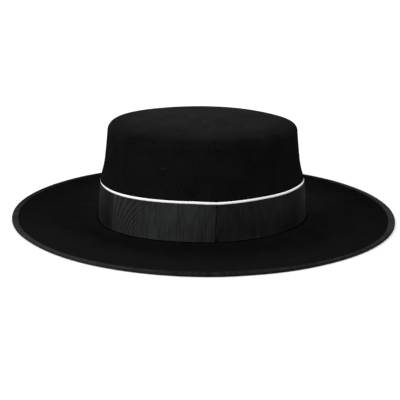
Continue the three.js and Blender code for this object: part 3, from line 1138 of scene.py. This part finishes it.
# The near black painted on the tongue, as painted shade where it shows in the slit.
TAPE_PAINTED_SHADE = (0.01, 0.01, 0.01)
TAPE_LOWER_EDGE_FADE = (0.0, 0.5)
TONGUE_CLEARS = (-0.3, 0.0)
TAPE_BUMP = 0.06
TAPE_GRAINS = {"weave": {"size": 0.22, "detail": 1.0, "stretch": (1.6, 1.6, 1)}, "soil": {"size": 6}}


def piping_finish():
    material, shader, start = finish("white_cotton_tape", {
        "Specular IOR Level": 0.2,
        "Sheen Weight": 0.1,
    })
    place, (x, y, z) = place_of(start)
    weave, soil = [grain(start, place, **row) for row in TAPE_GRAINS.values()]
    above_band = z - PIPING_BOTTOM
    edge = above_band.between(*TAPE_LOWER_EDGE_FADE)
    in_the_open = above_band.between(*TONGUE_CLEARS)
    # Painted shade to the left: the tape is made darker where the key light falls on it.
    clean_and_painted_light = edge * 0.25 + soil.between(0.3, 0.6) * 0.15 + (x / CROWN_LENGTH + 0.5) * 0.6
    # The tongue caught behind the ribbon is painted near black, as painted shade.
    colour = in_the_open.blend(TAPE_PAINTED_SHADE, clean_and_painted_light.blend(TAPE_SOILED_AND_SHADED, TAPE_WHITE))
    rough = 0.7 + weave * 0.2
    link(start, shader, Base_Color=colour, Roughness=rough, Normal=bump(start, weave, TAPE_BUMP))
    return material


piping.data.materials.append(piping_finish())
print("piping finish:", piping.data.materials[0].name)

# %% [markdown]
# ## What rides on what
# The hat is one rigid body, so each piece rides on the root. Each piece takes the place of a
# CAD solid, which is hidden. The list also gives the material slot of the imported record that
# its finish belongs to, which the code doesn't use.

# %% Pieces on the frame
for piece, node, slot in [
    (felt, "felt_body", "felt"),
    (hatband, "hatband", "band_ribbon"),
    (piping, "piping", "white_piping"),
    (binding, "brim_binding", "binding_ribbon"),
]:
    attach(piece, "root")
    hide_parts(node)
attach(stitching, "root")
print("pieces:", [piece.name for piece in (felt, hatband, piping, binding, stitching)])

# %% [markdown]
# ## The studio
# The photo shows the hat on pure white, so the floor is pale and wide and the sky around it
# is white too. The floor glows by itself a little, so that no dark line shows where the brim
# meets it. A soft light from low at the left front shapes the crown and the ribbon, and a
# narrow one straight above the crown gives its flat top the glow that sets it off from the
# dark wall and brim.

# %% Floor, sky and lights
FLOOR_HALF = 14.0
FLOOR_WHITE = 0.88
FLOOR_MOTTLE = 0.02
FLOOR_GRAIN = 3
FLOOR_GLOW = 0.08
SKY_STRENGTH = 1.15
SPOT_BLEND = 0.55
LIGHTS = [
    {
        "name": "key_softbox", "place": (-0.9, -0.75, 0.35), "aim": (0, 0, 0.05),
        "size": 0.5, "watts": 7, "cone": None,
    },
    {
        "name": "crown_spot", "place": (0.0, 0.03, 0.75), "aim": (0, 0.036, 0.095),
        "size": 0.06, "watts": 46, "cone": 20.5,
    },
]


def studio_floor():
    corners = np.array([[-1, -1, 0], [1, -1, 0], [1, 1, 0], [-1, 1, 0]]) * FLOOR_HALF
    floor = mesh_piece("studio_floor", corners, [[0, 1, 2, 3]])
    material, shader, start = finish("pale_floor", {
        "Roughness": 0.9,
        "Specular IOR Level": 0.1,
        "Emission Color": (1, 1, 1, 1),
        "Emission Strength": FLOOR_GLOW,
    })
    place, _ = place_of(start)
    paper = grain(start, place, FLOOR_GRAIN)
    shades = [(FLOOR_WHITE,) * 3, (FLOOR_WHITE + FLOOR_MOTTLE,) * 3]
    link(start, shader, Base_Color=paper.blend(*shades))
    floor.data.materials.append(material)
    return floor


def studio_sky():
    world = bpy.data.worlds.new("white_sky")
    world.use_nodes = True
    background = world.node_tree.nodes["Background"]
    background.inputs["Color"].default_value = (1, 1, 1, 1)
    background.inputs["Strength"].default_value = SKY_STRENGTH
    bpy.context.scene.world = world


def studio_light(name, place, aim, size, watts, cone):
    """A round softbox, or with a cone in degrees a spot whose light fades softly to its edge."""
    data = bpy.data.lights.new(name, "SPOT" if cone else "AREA")
    data.energy = watts
    if cone:
        data.spot_size = np.radians(cone)
        data.spot_blend = SPOT_BLEND
        data.shadow_soft_size = size / 2
    else:
        data.shape = "DISK"
        data.size = size
    light = bpy.data.objects.new(name, data)
    bpy.context.scene.collection.objects.link(light)
    light.location = place
    light.rotation_mode = "QUATERNION"
    light.rotation_quaternion = turn_to(Vector(aim) - light.location)
    light.visible_camera = False
    return light


floor = studio_floor()
studio_sky()
lights = [studio_light(**row) for row in LIGHTS]
bpy.context.scene.view_settings.view_transform = "Standard"
print("lights:", [light.name for light in lights])

# %% [markdown]
# The box of the dressed hat has to be the box of the CAD model, apart from what fabric may
# stand proud.
